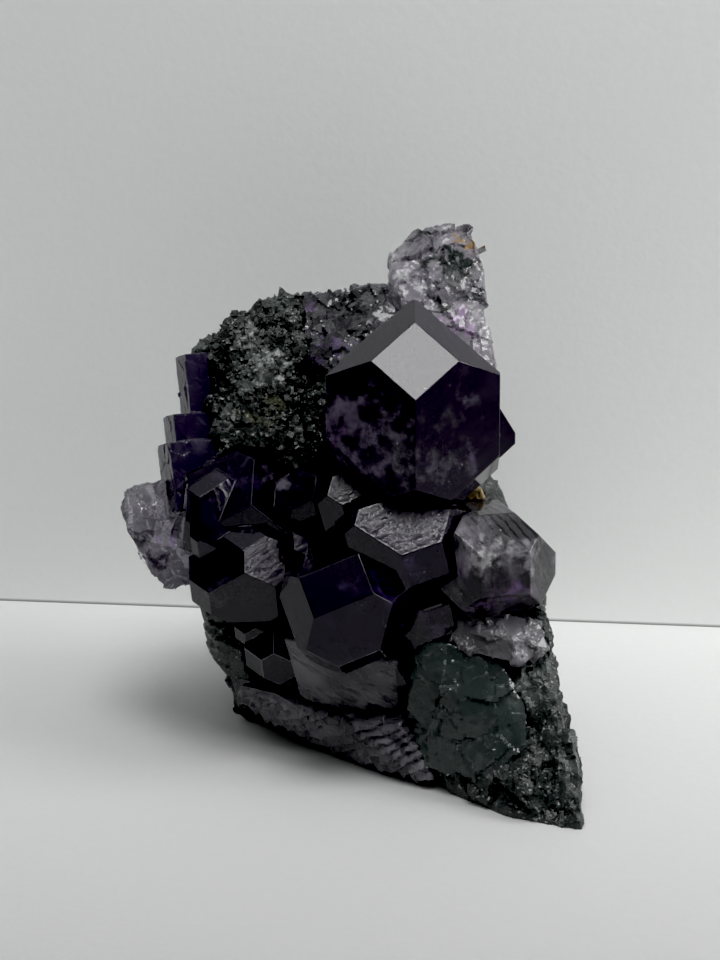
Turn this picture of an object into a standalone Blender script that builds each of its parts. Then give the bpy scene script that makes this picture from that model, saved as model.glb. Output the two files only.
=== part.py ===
"""Fluorite crystals on dark matrix, one hand specimen at its real size (metres, +Z up).

The crystals are cubes whose edges are cut off by the rhombic dodecahedron. They grow on the display
side of the rock, which leans back from upright, so a crystal's place is given on that leaning face:
across (to the right), up along the face, and out of it. Rock and fracture lumps are given by their
corners in the standing frame. Everything is worked out in millimetres and written in metres. The
origin is on the flat sawn base, under the middle of the specimen.
"""
import itertools
import math

import bmesh
import bpy
from mathutils import Euler, Matrix, Vector, noise

# Driving dimensions, in millimetres and degrees
MM = 0.001
FACE_LEAN = 20.0           # how far the display face leans back from upright
FACE_MIDDLE = (0.0, -12.0, 41.1)  # where the middle of the display face is in the standing frame
CONTACT_GAP = 0.3          # between a crystal and the socket it sits in
BASE_LEVEL = 0.0           # the sawn underside
CROWN_CUBE = 12.5          # centre of the big crystal to its cube faces
CROWN_DODECAHEDRON = 10.87
ROCK_GRAIN = 1.15          # size of the facets that the rock is broken into
ROCK_ROUGHNESS = 0.85      # how far the broken surface rises and falls
ROCK_TRIANGLES = 3450
STARTING_BLOCK = 160.0     # a lump is cut from a block of this size
FLAT_WITHIN = 1.0          # broken faces that turn less than this from each other are one face
SNAP = 0.002               # points closer than this are one point

CUBE_FORM = [face for face in itertools.product((-1, 0, 1), repeat=3) if sum(map(abs, face)) == 1]
DODECAHEDRON_FORM = [face for face in itertools.product((-1, 0, 1), repeat=3) if sum(map(abs, face)) == 2]

DISPLAY_FACE = Matrix.Translation(FACE_MIDDLE) @ Matrix.Rotation(math.radians(90.0 - FACE_LEAN), 4, "X")

# Crystals that grew parallel share one turn (degrees about across, up, out, in that order)
CROWN_TURN = (-18.3, -17.4, -42.2)
CENTRE_TURN = (23.6, 8.6, 18.9)
LOWER_TURN = (-20.3, -4.1, 22.6)
LEFT_TURN = (42.0, -42.0, 94.0)
UPPER_LEFT_TURN = (50.0, -22.0, 83.0)
SMOKY_TURN = (14.0, 14.0, 4.0)
TERRACE_TURN = (-2.0, 20.0, 5.0)

# Colours of the pieces (linear RGB) with roughness
DEEP_PURPLE = ((0.045, 0.030, 0.085), 0.18)
DARK_PURPLE = ((0.020, 0.014, 0.040), 0.12)
SMOKY_GREY = ((0.22, 0.20, 0.23), 0.15)
PALE_LILAC = ((0.42, 0.37, 0.46), 0.20)
PALE_GREY = ((0.36, 0.34, 0.38), 0.28)
INDIGO = ((0.050, 0.040, 0.110), 0.22)
GREEN_GREY = ((0.060, 0.070, 0.066), 0.25)
BLACK_GREEN = ((0.034, 0.038, 0.036), 0.60)
RUST_YELLOW = ((0.45, 0.33, 0.14), 0.55)


def clear_scene():
    for thing in list(bpy.data.objects):
        bpy.data.objects.remove(thing, do_unlink=True)


def material(name, look):
    colour, roughness = look
    made = bpy.data.materials.new(name)
    made.use_nodes = True
    shader = made.node_tree.nodes["Principled BSDF"]
    shader.inputs["Base Color"].default_value = (*colour, 1.0)
    shader.inputs["Roughness"].default_value = roughness
    shader.inputs["Metallic"].default_value = 0.0
    return made


def new_object(name, shape):
    mesh = bpy.data.meshes.new(name)
    bmesh.ops.recalc_face_normals(shape, faces=shape.faces)
    shape.to_mesh(mesh)
    shape.free()
    made = bpy.data.objects.new(name, mesh)
    bpy.context.scene.collection.objects.link(made)
    return made


def cut_block(name, planes, size):
    """A block with everything outside each plane (a point on it and its outward normal) bisected off."""
    shape = bmesh.new()
    bmesh.ops.create_cube(shape, size=size)
    for point, outward in planes:
        cut = bmesh.ops.bisect_plane(
            shape, geom=shape.verts[:] + shape.edges[:] + shape.faces[:], dist=SNAP,
            plane_co=point, plane_no=outward, clear_outer=True)
        rim = [part for part in cut["geom_cut"] if isinstance(part, bmesh.types.BMEdge)]
        if len(rim) > 2:
            bmesh.ops.contextual_create(shape, geom=rim)
    bmesh.ops.remove_doubles(shape, verts=shape.verts, dist=SNAP)
    return new_object(name, shape)


def crystal(place, turn, cube, dodecahedron, other_faces=None, gap=0.0):
    """A crystal with each face of the cube and the dodecahedron at its own distance from its centre."""
    distances = {face: cube for face in CUBE_FORM}
    distances.update({face: dodecahedron for face in DODECAHEDRON_FORM})
    distances.update(other_faces or {})
    planes = []
    for face, distance in distances.items():
        outward = Vector(face).normalized()
        planes.append((outward * (distance + gap), outward))
    made = cut_block("crystal", planes, 4.0 * max(distances.values()))
    swing = Euler([math.radians(angle) for angle in turn], "XYZ").to_matrix().to_4x4()
    made.data.transform(DISPLAY_FACE @ Matrix.Translation(place) @ swing)
    return made


def corner_at(turn, corner_place, corner):
    """The centre of a crystal whose corner (along its own axes) stands at corner_place."""
    swing = Euler([math.radians(angle) for angle in turn], "XYZ").to_matrix()
    return Vector(corner_place) - swing @ Vector(corner)


def lump(corners, gap=0.0):
    """A solid with flat broken faces, the convex hull of its corners in the standing frame."""
    hull = bmesh.new()
    for corner in corners:
        hull.verts.new(corner)
    done = bmesh.ops.convex_hull(hull, input=hull.verts)
    inside = [part for part in done["geom_interior"] if isinstance(part, bmesh.types.BMVert)]
    bmesh.ops.delete(hull, geom=inside, context="VERTS")
    bmesh.ops.recalc_face_normals(hull, faces=hull.faces)
    bmesh.ops.dissolve_limit(hull, angle_limit=math.radians(FLAT_WITHIN), verts=hull.verts, edges=hull.edges)
    hull.normal_update()
    planes = [(face.calc_center_median() + face.normal * gap, face.normal.copy()) for face in hull.faces]
    hull.free()
    return cut_block("lump", planes, STARTING_BLOCK)


def apply_modifiers(thing):
    done = bpy.data.meshes.new_from_object(thing.evaluated_get(bpy.context.evaluated_depsgraph_get()))
    thing.modifiers.clear()
    thing.data = done


def boolean(thing, operation, tool):
    tool.hide_render = True
    tool.display_type = "WIRE"
    step = thing.modifiers.new(operation.title(), "BOOLEAN")
    step.operation = operation
    step.solver = "EXACT"
    step.object = tool
    apply_modifiers(thing)
    bpy.data.objects.remove(tool, do_unlink=True)


def joined(name, solids):
    """Solids that grew through each other, united into one."""
    first, *others = solids
    for other in others:
        boolean(first, "UNION", other)
    first.name = name
    return first


def near(one, other):
    """True where the boxes of two solids meet."""
    for axis in range(3):
        low_one, high_one = (pick(v.co[axis] for v in one.data.vertices) for pick in (min, max))
        low_other, high_other = (pick(v.co[axis] for v in other.data.vertices) for pick in (min, max))
        if low_one > high_other or low_other > high_one:
            return False
    return True


def seat_on(thing, sockets):
    """Cut a solid back from each socket, a neighbour's solid with the contact gap added all round."""
    for socket in sockets:
        if near(thing, socket):
            boolean(thing, "DIFFERENCE", socket)
        else:
            bpy.data.objects.remove(socket, do_unlink=True)


def keep_main_body(thing):
    """Drop the loose chips that a cut leaves, edges too short to see, and edges that two cuts pinch."""
    shape = bmesh.new()
    shape.from_mesh(thing.data)
    bmesh.ops.remove_doubles(shape, verts=shape.verts, dist=SNAP)
    bmesh.ops.dissolve_degenerate(shape, dist=SNAP, edges=shape.edges)
    bodies = []
    left = set(shape.verts)
    while left:
        start = left.pop()
        body, unvisited = {start}, [start]
        while unvisited:
            for edge in unvisited.pop().link_edges:
                for corner in edge.verts:
                    if corner in left:
                        left.remove(corner)
                        body.add(corner)
                        unvisited.append(corner)
        bodies.append(body)
    chips = [corner for body in sorted(bodies, key=len)[:-1] for corner in body]
    bmesh.ops.delete(shape, geom=chips, context="VERTS")
    bmesh.ops.triangulate(shape, faces=shape.faces)
    pinched = [edge for edge in shape.edges if len(edge.link_faces) > 2]
    bmesh.ops.collapse(shape, edges=pinched)
    bmesh.ops.delete(shape, geom=[edge for edge in shape.edges if edge.is_wire], context="EDGES")
    shape.to_mesh(thing.data)
    shape.free()


def crown_crystal(gap):
    """The biggest crystal, with the parallel one grown through it behind its right side."""
    centre = (6.8, 9.8, -6.4)
    return [
        crystal(centre, CROWN_TURN, CROWN_CUBE, CROWN_DODECAHEDRON, {
            (0, 0, 1): 11.5, (1, 0, 0): 13.5, (0, -1, 0): 12.3, (1, 1, 0): 10.7, (-1, -1, 0): 11.1,
            (1, -1, 0): 14.5, (0, 1, 0): 8.0, (-1, 0, 0): 8.0}, gap),
        crystal(centre, CROWN_TURN, 9.5, 9.5, {
            (0, 0, 1): 6.5, (1, 0, 0): 13.5, (1, 1, 0): 12.9, (1, 0, 1): 9.0, (0, -1, 0): 5.0, (0, 1, 0): 6.0,
            (1, -1, 0): 11.5}, gap),
    ]


def purple_cluster(gap):
    """The crystals grown through each other below and left of the crown, with the slabs under them."""
    left = corner_at(LEFT_TURN, (-14.7, -11.8, -4.0), (3.6, 3.6, 3.6))
    far_left = corner_at(LEFT_TURN, (-20.4, -7.7, -6.0), (5.75, 5.75, 5.75))
    upper_left = corner_at(UPPER_LEFT_TURN, (-13.9, -3.2, -7.0), (5.8, 5.8, 5.8))
    bud = corner_at(CENTRE_TURN, (-0.1, -2.4, -3.0), (0.0, 2.1, 5.0))
    solids = [
        crystal((6.2, -8.2, -6.3), CENTRE_TURN, 8.1, 7.6, {(-1, 1, 0): 9.6, (0, -1, 1): 7.0}, gap),
        crystal((-1.7, -15.5, -7.0), LOWER_TURN, 7.5, 7.3, {
            (1, 0, 1): 8.3, (-1, 0, 1): 8.0, (-1, -1, 0): 8.5, (0, -1, 0): 8.3}, gap),
        crystal(left, LEFT_TURN, 5.3, 5.1, {
            (0, 0, 1): 6.3, (0, 1, 0): 7.0, (-1, 0, 1): 7.6, (-1, 1, 0): 7.6, (0, 1, -1): 7.5}, gap),
        crystal(far_left, LEFT_TURN, 9.0, 8.13, {
            (0, -1, 1): 6.8, (1, 0, -1): 6.3, (0, 1, 0): 6.0, (0, 1, -1): 1.4, (-1, 1, 0): 7.0}, gap),
        crystal(upper_left, UPPER_LEFT_TURN, 9.85, 8.24, {(0, -1, 1): 6.0}, gap),
        crystal(bud, CENTRE_TURN, 5.0, 5.0, {(1, 0, 1): 5.2, (-1, 0, 1): 5.2}, gap),
        crystal((-6.4, -3.6, -12.5), UPPER_LEFT_TURN, 5.4, 4.9, None, gap),
        crystal((-10.6, -21.6, -15.5), LEFT_TURN, 4.6, 4.4, {(1, 0, 1): 4.0}, gap),
        crystal((-13.4, -18.8, -15.0), LEFT_TURN, 3.2, 3.0, None, gap),
        crystal((-12.2, -27.0, -24.0), LOWER_TURN, 4.6, 4.6, None, gap),
        crystal((9.0, -16.6, -9.6), CENTRE_TURN, 5.2, 4.9, {(0, 1, 1): 5.4}, gap),
    ]
    for step in range(3):
        place = Vector((-8.4, -8.6, -7.6)) + step * Vector((1.3, -1.6, -0.5))
        solids.append(crystal(place, LEFT_TURN, 3.6, 1.9, None, gap))
    solids.append(lump([
        (-8.6, -7.6, 8.2), (-2.0, -11.4, 7.6), (1.5, -12.4, 7.6), (5.4, -13.8, 7.8), (9.4, -16.4, 2.0),
        (8.4, -15.4, 1.1), (3.3, -11.6, 1.2), (-1.3, -8.6, 1.2), (-5.4, -4.8, 1.5), (-8.4, -3.4, 2.4),
        (-4.0, 2.0, 6.0), (5.0, -4.0, 6.0), (6.0, -6.0, 1.4)], gap))
    solids.append(lump([
        (-15.8, -3.6, 9.0), (-11.0, -7.0, 9.4), (-8.0, -8.0, 8.0), (-7.4, -5.6, 3.0), (-11.4, -4.0, 4.0),
        (-15.2, -1.9, 5.2), (-12.0, 2.0, 7.0), (-9.0, 1.0, 5.0), (-14.0, 3.0, 7.4)], gap))
    solids.append(lump([
        (-9.7, -10.6, 18.7), (-7.0, -11.6, 18.8), (-2.0, -13.1, 17.7), (4.5, -13.5, 16.5),
        (6.5, -11.9, 12.2), (5.2, -10.3, 7.9), (1.3, -9.6, 6.8), (-2.0, -8.7, 6.4), (-7.8, -8.5, 9.9),
        (-9.0, -1.0, 19.0), (6.0, -2.0, 17.0), (4.0, -3.0, 7.0), (-7.0, -1.0, 9.0)], gap))
    return solids


def smoky_crystal(gap):
    """The smoky crystal and the broken fluorite that it grew from, between it and the green mass."""
    return [
        crystal((16.4, -9.7, -6.7), SMOKY_TURN, 8.4, 7.4, {
            (0, 0, 1): 7.2, (0, 1, 0): 6.3, (1, 1, 0): 6.2, (0, 1, 1): 6.6, (1, -1, 0): 7.8}, gap),
        lump([
            (12.2, -12.8, 22.7), (17.8, -13.0, 23.6), (22.9, -12.6, 22.0), (23.9, -14.6, 19.3),
            (20.2, -16.9, 18.2), (13.9, -15.5, 19.2), (11.7, -13.5, 20.5), (18.3, -16.5, 21.3),
            (13.0, -7.0, 19.6), (22.8, -7.3, 18.9), (23.3, -9.4, 16.0), (14.3, -9.2, 16.6)], gap),
    ]


def terrace_fluorite(gap):
    """Three parallel blocks, each standing further out, wider and lower than the one above."""
    blocks = [((-22.4, 12.3, -20.3), 1.6, 4.3, 3.5), ((-23.3, 6.0, -19.8), 2.5, 2.6, 4.2),
              ((-21.6, 1.0, -19.9), 4.9, 4.0, 5.0)]
    return [
        crystal(place, TERRACE_TURN, 5.0, 9.0, {
            (1, 0, 0): half_width, (-1, 0, 0): half_width, (0, 1, 0): top, (0, 0, 1): front,
            (0, 0, -1): 1.2}, gap)
        for place, half_width, top, front in blocks]


def left_lump(gap):
    return [lump([
        (-31.7, 3.9, 32.1), (-31.3, 1.5, 31.3), (-29.4, -2.4, 26.5), (-27.5, -3.1, 24.6), (-24.1, -4.6, 23.4),
        (-20.1, -5.5, 23.8), (-17.2, -4.3, 27.2), (-20.9, -0.7, 34.2), (-25.7, 3.0, 35.6), (-27.1, 3.9, 35.0),
        (-27.5, 8.0, 31.5), (-22.0, 8.0, 34.0), (-16.0, 6.0, 31.0), (-19.0, 5.0, 23.5), (-27.0, 5.0, 26.0)],
        gap)]


def ridge_fluorite(gap):
    """The broken ridge across the top, with the tip of one small crystal at its left end."""
    return [
        lump([
            (-7.6, 13.0, 57.4), (-2.0, 12.4, 59.0), (2.0, 12.6, 59.5), (6.0, 12.6, 59.9), (7.1, 6.0, 55.3),
            (3.2, 1.5, 50.7), (-3.9, 3.0, 50.1), (-7.9, 8.8, 54.5), (-6.5, 18.0, 56.5), (5.5, 18.5, 58.5),
            (7.0, 18.0, 46.0), (-6.0, 17.0, 46.0), (0.0, 3.0, 45.5)], gap),
        lump([
            (-7.8, 13.2, 57.0), (-5.4, 13.2, 57.0), (-6.3, 13.9, 58.6), (-7.2, 14.4, 58.4),
            (-7.6, 15.5, 56.8), (-5.6, 15.5, 56.8), (-6.6, 12.6, 55.8)], gap),
    ]


def peak_fluorite(gap):
    """The clear peak at the top right, broken into a tall body, a left shoulder and a right shoulder."""
    return [
        lump([
            (6.6, 15.8, 64.8), (9.6, 17.5, 66.6), (11.6, 17.6, 66.8), (14.6, 16.3, 66.3), (16.0, 14.4, 63.8),
            (16.1, 11.6, 59.1), (16.7, 5.2, 50.4), (9.1, 5.9, 55.3), (6.4, 9.0, 60.0), (7.0, 20.0, 60.0),
            (12.0, 20.5, 65.0), (16.0, 19.5, 58.0), (16.5, 18.0, 44.0), (8.0, 19.0, 44.0),
            (12.0, 7.0, 43.0)], gap),
        lump([
            (3.6, 13.2, 60.7), (4.0, 15.1, 63.0), (6.6, 15.8, 64.8), (9.0, 13.5, 62.5), (8.5, 8.0, 58.5),
            (5.2, 7.3, 58.8), (4.2, 18.0, 61.0), (8.5, 18.5, 63.0), (4.4, 17.0, 52.0),
            (9.0, 10.0, 50.0)], gap),
        lump([
            (16.2, 8.6, 53.6), (18.1, 5.6, 49.6), (18.2, 4.7, 47.4), (15.8, 3.8, 48.6), (15.0, 6.5, 53.5),
            (17.4, 12.0, 50.0), (17.2, 10.0, 43.0), (14.0, 6.0, 43.0)], gap),
    ]


def green_fluorite(gap):
    return [lump([
        (8.3, -13.3, 19.9), (14.0, -15.0, 19.3), (17.8, -15.8, 17.9), (21.2, -17.8, 12.6), (21.0, -20.4, 7.6),
        (17.0, -20.8, 4.4), (11.4, -18.8, 3.0), (7.8, -15.6, 3.4), (5.2, -12.8, 6.0), (5.6, -11.8, 9.6),
        (13.0, -17.8, 12.0), (7.0, -6.0, 19.0), (17.0, -7.0, 17.5), (18.0, -9.0, 8.0), (7.0, -6.5, 6.5)], gap)]


def iron_grain(gap):
    return [lump([
        (14.0, -3.6, 36.6), (15.6, -4.2, 36.9), (16.3, -4.9, 35.4), (15.0, -5.2, 34.6), (13.8, -4.4, 35.2),
        (14.4, -0.5, 36.4), (15.8, -0.8, 36.0), (15.0, -1.2, 34.8)], gap)]


ROCK_LUMPS = {
    "heart": [
        (-18, 2, 36), (-4, -1, 39), (8, -3, 39), (15, -3, 36), (19, -4, 31), (22, -8, 22), (8, -8, 19),
        (-8, -6, 19), (-16, -3, 23), (-20, 17, 35), (-19, 20, 18), (14, 19, 36), (20, 18, 20), (11, 20, 45),
        (-8, 19, 47)],
    "shoulder": [
        (-23.2, 12.5, 48), (-22.6, 13, 49.8), (-20.4, 11.6, 50.4), (-17.8, 11.5, 53.2), (-15.8, 12.3, 55.3),
        (-11.6, 12.7, 56.6), (-8.6, 12, 56.0), (-4, 10, 56), (-2, 3, 50), (-4, -2, 40), (-18, 1, 38),
        (-22.4, 9, 41), (-22, 18, 47), (-18, 21, 50), (-11, 21, 55), (4, 21, 56), (4, 22, 40),
        (-20, 21, 38)],
    "saddle": [
        (4, 19, 58), (14, 20, 60), (15, 18, 46), (4, 8, 52), (13, 6, 46), (2, 21, 46), (13, 20, 40),
        (0, 6, 42), (13, 0, 40)],
    "foot": [
        (8, -12.4, -1), (3.3, -9, -1), (-4, -3.4, -1), (-12, 3, -1), (-16, 5.6, -1), (-16.2, 1, 7),
        (-17.4, -1, 11), (-16, -2.4, 14), (-8, -5, 14), (4, -6, 17), (12, -10, 17), (-17, 17, -1), (-10, 23, -1),
        (14, 23, -1), (22, 15, -1), (25, 2, -1), (-19, 17, 17), (-12, 22, 22), (11, 22, 24), (19, 15, 22),
        (22.5, 0, 19)],
    "wedge": [
        (23.8, -10, 21.6), (24.2, -13.4, 19.3), (25.3, -17.6, 13.5), (27, -23.8, 5.4), (28.4, -27.6, 0.6),
        (28, -27.9, -1), (20, -25.2, -1), (12, -18.6, -1), (10.6, -14.2, 1.6), (8, -9, 17), (18, -10.6, 20),
        (28.2, -14, -1), (23, -2, 20), (14, 2, 21), (8, -4, -1), (25, 0, -1)],
    "rim": [
        (-21, -2, 22.6), (-18.4, -2.4, 18.4), (-17.6, -2.2, 15), (-16.2, -2.8, 13.4), (-17.4, -1.4, 11),
        (-16.2, -0.6, 7.4), (-15.8, 5, 0.6), (-20, 10, 26), (-19.4, 14, 12), (-16.4, 14, -1), (-10, 4, 22),
        (-8, 8, 4)],
    "right_bank": [
        (12.4, -3.2, 35.6), (16.6, -3.4, 34.4), (20, -4.6, 31.4), (23.6, -7, 24), (23.4, -9.6, 20),
        (10, -6, 20), (13, 12, 38), (18.4, 12, 30), (22.6, 10, 18), (12, 8, 36)],
}
# The deep hollow in the drusy shoulder, and the break below the crown
PITS = {
    "hollow": [
        (-9.4, 2, 50.6), (-4.4, 1, 51.4), (-3.8, 0, 47), (-8.8, 0, 46.4), (-8.6, 9, 51), (-5, 9, 51.2),
        (-4.8, 9, 48), (-8.2, 9, 47.6)],
    "notch": [
        (-17.4, -4, 36.6), (-9, -6, 37.6), (-9, -6, 40.6), (-17, -4, 41), (-15.6, 5.6, 40.2), (-9.6, 4.6, 41),
        (-9.6, 4, 38.6), (-15, 5, 38)],
}


def roughen(thing):
    """Move the rock's surface in and out by a coarse and a fine swell, without moving its underside."""
    for corner in thing.data.vertices:
        point = corner.co
        coarse = noise.noise(point * 0.16 + Vector((3.1, 1.7, 0.4)))
        fine = noise.noise(point * 0.45 + Vector((0.2, 5.3, 2.2)))
        sharp = abs(noise.noise(point * 0.27 + Vector((7.0, 0.3, 4.4))))
        swell = 0.9 * coarse + 0.45 * fine + 0.25 - 0.8 * sharp
        corner.co = point + corner.normal * ROCK_ROUGHNESS * swell


def matrix():
    """The dark rock: broken lumps grown into one, roughened, sawn flat underneath."""
    rock = joined("matrix", [lump(corners) for corners in ROCK_LUMPS.values()])
    for corners in PITS.values():
        boolean(rock, "DIFFERENCE", lump(corners))
    grain = rock.modifiers.new("Grain", "REMESH")
    grain.mode = "VOXEL"
    grain.voxel_size = ROCK_GRAIN
    apply_modifiers(rock)
    roughen(rock)
    facets = rock.modifiers.new("Facets", "DECIMATE")
    facets.ratio = ROCK_TRIANGLES / (2.0 * len(rock.data.polygons))
    apply_modifiers(rock)
    below = cut_block("saw", [(Vector((0.0, 0.0, BASE_LEVEL)), Vector((0.0, 0.0, 1.0)))], 2.0 * STARTING_BLOCK)
    boolean(rock, "DIFFERENCE", below)
    return rock


def finish(thing, look):
    """Write the solid in metres with its own material."""
    keep_main_body(thing)
    thing.data.transform(Matrix.Scale(MM, 4))
    thing.data.materials.clear()
    thing.data.materials.append(material(thing.name, look))


PIECES = {
    crown_crystal: DARK_PURPLE,
    purple_cluster: DEEP_PURPLE,
    smoky_crystal: SMOKY_GREY,
    green_fluorite: GREEN_GREY,
    terrace_fluorite: INDIGO,
    left_lump: PALE_GREY,
    peak_fluorite: PALE_LILAC,
    ridge_fluorite: PALE_GREY,
    iron_grain: RUST_YELLOW,
}


def build():
    clear_scene()
    placed = []
    for make, look in PIECES.items():
        piece = joined(make.__name__, make(gap=0.0))
        for neighbour in placed:
            seat_on(piece, neighbour(gap=CONTACT_GAP))
        finish(piece, look)
        placed.append(make)
    rock = matrix()
    for neighbour in placed:
        seat_on(rock, neighbour(gap=CONTACT_GAP))
    finish(rock, BLACK_GREEN)


build()
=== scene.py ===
"""Fluorite on matrix: the finish of every crystal and of the rock, with floor, light and camera."""
import itertools
import math
import random

import bmesh
import bpy
from mathutils import Euler, Matrix, Vector, kdtree, noise


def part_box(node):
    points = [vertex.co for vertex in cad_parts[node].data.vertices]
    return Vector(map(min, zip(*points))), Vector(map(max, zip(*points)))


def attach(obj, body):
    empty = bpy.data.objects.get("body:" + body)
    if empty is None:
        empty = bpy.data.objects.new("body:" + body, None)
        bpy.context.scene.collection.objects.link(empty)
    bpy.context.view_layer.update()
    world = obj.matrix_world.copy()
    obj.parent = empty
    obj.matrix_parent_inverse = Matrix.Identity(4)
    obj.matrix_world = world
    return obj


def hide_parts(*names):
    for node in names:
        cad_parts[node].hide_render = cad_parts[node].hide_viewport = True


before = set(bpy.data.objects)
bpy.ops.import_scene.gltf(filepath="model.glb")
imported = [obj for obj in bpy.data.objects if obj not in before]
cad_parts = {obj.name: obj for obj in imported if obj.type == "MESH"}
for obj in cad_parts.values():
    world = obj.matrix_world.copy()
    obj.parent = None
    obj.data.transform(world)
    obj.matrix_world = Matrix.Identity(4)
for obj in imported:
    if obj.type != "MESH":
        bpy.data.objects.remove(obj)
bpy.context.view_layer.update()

MM = 0.001
ROOT = "root"

# The display face leans back; places on it are given across, up and out, in millimetres
FACE_LEAN = 20.0
FACE_MIDDLE = Vector((0.0, -12.0, 41.1))
FACE_TURN = Matrix.Rotation(math.radians(90.0 - FACE_LEAN), 3, "X")

CAMERA_DISTANCE = 300.0    # from the middle of the display face, in millimetres

# The softbox that the crown's top face mirrors into the camera, and the window at the right
SOFTBOX_PLACE = Vector((18.3, -157.7, 534.0)) * MM
WINDOW_PLACE = Vector((450.0, -100.0, 300.0)) * MM
CROWN_PLACE = Vector((6.8, -10.7, 56.3)) * MM
WALL_PLACE = Vector((0.0, 41.5, 2000.0)) * MM
WALL_SWING = math.radians(-5.4)

FLUORITE_IOR = 1.434
ARRIS = 0.09 * MM          # worn width of a crystal's edges
ROCK_VOXEL = 0.42 * MM     # fineness of the rock's surface
BROKEN_VOXEL = 0.26 * MM   # fineness of the broken fluorite
RELIEF_RIM = 0.45 * MM     # width over which a carved relief rises from its border
RELIEF_SINK = 0.03 * MM    # depth of that border under the crystal's face
BLACK_LEVEL = 0.012        # light that the picture shows as black


def on_face(across, up, out):
    """A place on the leaning display face, in metres in the standing frame."""
    return (FACE_TURN @ Vector((across, up, out)) + FACE_MIDDLE) * MM


def crystal_axis(turn, direction):
    """The standing direction of a crystal's own direction, for a crystal turned by turn degrees."""
    swing = Euler([math.radians(angle) for angle in turn], "XYZ").to_matrix()
    return (FACE_TURN @ swing @ Vector(direction)).normalized()


# Turns of the crystals on the display face (degrees about across, up and out)
CROWN_TURN = (-18.3, -17.4, -42.2)
CENTRE_TURN = (23.6, 8.6, 18.9)
LOWER_TURN = (-20.3, -4.1, 22.6)
LEFT_TURN = (42.0, -42.0, 94.0)
UPPER_LEFT_TURN = (50.0, -22.0, 83.0)
SMOKY_TURN = (14.0, 14.0, 34.0)

# Directions of the etch marks, of the slab's grain, of the ledges' steps and of the splinters
FOIL_WAY = crystal_axis(CENTRE_TURN, (1, 0.3, 0))
DASH_WAY = crystal_axis(LEFT_TURN, (0, 1, 0))
GRAIN_WAY = Vector((0.80, -0.20, -0.56)).normalized()
STEP_WAY = Vector((-0.35, 0.2, 0.9))
PEAK_WAY = Vector((0.15, -0.35, 0.92)).normalized()
ROCK_WAY = Vector((0.40, -0.30, -0.87)).normalized()


# Modelling steps

def only(piece):
    """Make one piece the active and only selected object."""
    if bpy.context.mode != "OBJECT":
        bpy.ops.object.mode_set(mode="OBJECT")
    bpy.ops.object.select_all(action="DESELECT")
    piece.select_set(True)
    bpy.context.view_layer.objects.active = piece


def copy_of(cad_node, name):
    """A merged copy of a CAD solid, with its flat faces whole again."""
    piece = bpy.data.objects.new(name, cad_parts[cad_node].data.copy())
    bpy.context.scene.collection.objects.link(piece)
    piece.data.materials.clear()
    only(piece)
    bpy.ops.object.mode_set(mode="EDIT")
    bpy.ops.mesh.select_all(action="SELECT")
    bpy.ops.mesh.remove_doubles(threshold=0.004 * MM)
    bpy.ops.mesh.dissolve_limited(angle_limit=math.radians(1.0))
    bpy.ops.object.mode_set(mode="OBJECT")
    return piece


def modify(piece, kind, **values):
    step = piece.modifiers.new(kind.title(), kind)
    for name, value in values.items():
        setattr(step, name, value)
    only(piece)
    bpy.ops.object.modifier_apply(modifier=step.name)


def soften_edges(piece, width=ARRIS):
    """Round the arrises a little and keep the big faces optically flat."""
    modify(piece, "BEVEL", width=width, segments=2, limit_method="ANGLE", angle_limit=math.radians(14.0),
           use_clamp_overlap=False)
    only(piece)
    bpy.ops.object.shade_smooth()
    modify(piece, "WEIGHTED_NORMAL", weight=100, keep_sharp=False)


# Far-apart places in the noise, one for each part of a drifting vector
DRIFT_SHIFTS = ((11.3, 0.7, 3.9), (5.1, 17.9, 8.3), (2.7, 6.1, 23.9))


def drift(point):
    """A vector that varies smoothly from place to place, each part from -1 to 1."""
    return Vector([noise.noise(point + Vector(shift)) for shift in DRIFT_SHIFTS])


def fracture(point, cell, seed):
    """Height of a broken surface: each cell of the break is its own tilted plane."""
    shift = Vector((seed * 7.3, seed * 3.1, seed * 5.7))
    corner = noise.voronoi(point / cell + shift)[1][0]
    tilt = drift(corner * 3.7 + shift)
    return (point / cell + shift - corner).dot(tilt) * cell + noise.noise(corner * 5.1) * cell * 0.25


def break_surface(piece, layers, swell=0.0, grain=None, keep_low=None):
    """Move a surface along its normals by layers of fracture, each with its cell size, share and seed."""
    normals = [corner.normal.copy() for corner in piece.data.vertices]
    for corner, normal in zip(piece.data.vertices, normals):
        point = corner.co
        drawn = point if grain is None else point - grain * (0.62 * point.dot(grain))
        lift = swell + sum(share * fracture(drawn, cell, seed) for cell, share, seed in layers)
        if keep_low is not None:
            lift *= min(1.0, max(0.0, (point.z - keep_low) / (1.5 * MM)))
        corner.co = point + normal * lift


def ridges(point, size, way, stretch, seed):
    """Crinkled ridges from 0 to 1, drawn out along a direction."""
    drawn = (point - way * ((1.0 - stretch) * point.dot(way))) / size
    drawn += Vector((seed, 2.0 * seed, 0.5 * seed))
    bent = drawn + 0.55 * drift(drawn * 0.6)
    crest = 1.0 - abs(noise.noise(bent)) * 2.0
    return 0.62 * crest * crest + 0.38 * (1.0 - abs(noise.noise(bent * 2.3)) * 2.0)


def stairs(point, rise, way, seed):
    """Wavy steps that go down along a direction, each tread flat and each edge sharp."""
    level = point.dot(way) / rise + 0.8 * noise.noise(point / (4.4 * MM) + Vector((seed, 0.0, 0.0)))
    level += 0.22 * noise.noise(point / (1.3 * MM) + Vector((0.0, seed, 0.0)))
    part = level - math.floor(level)
    return 1.0 - part + 0.5 * noise.noise(Vector((math.floor(level) * 3.3, seed, 0.0)))


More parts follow.
